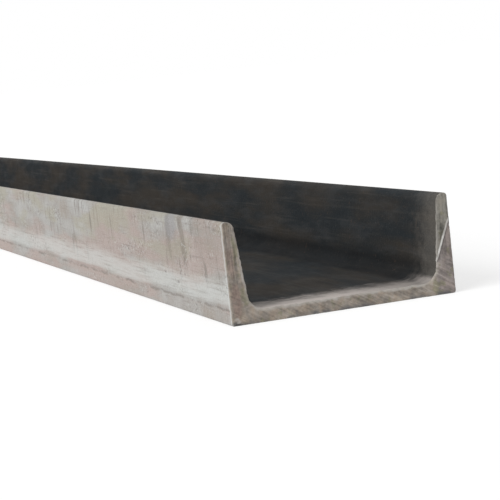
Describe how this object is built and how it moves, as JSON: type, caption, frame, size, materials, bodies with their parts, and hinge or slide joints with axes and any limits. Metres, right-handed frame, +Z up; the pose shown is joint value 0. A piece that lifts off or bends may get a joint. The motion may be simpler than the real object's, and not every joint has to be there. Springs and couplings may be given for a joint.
{
  "type": "steel u-channel",
  "caption": "Straight stock length of hot-rolled structural steel channel: flat web, tapered flanges, rounded roots and toes, plain sawn ends.",
  "frame": {"origin": "on the back of the web, in the middle of its width and of the length; the back of the web lies on the floor", "axes": "+X across the web, +Y along the length, away from the end that the picture shows, +Z up, from the back of the web towards the toes of the flanges"},
  "size_m": [0.14, 6, 0.06],
  "materials": {
    "rolled_steel": "hot-rolled mill scale, matt grey with light brown rust, cut ends bare and browned"
  },
  "bodies": {
    "root": {"channel": "rolled_steel"}
  },
  "joints": []
}
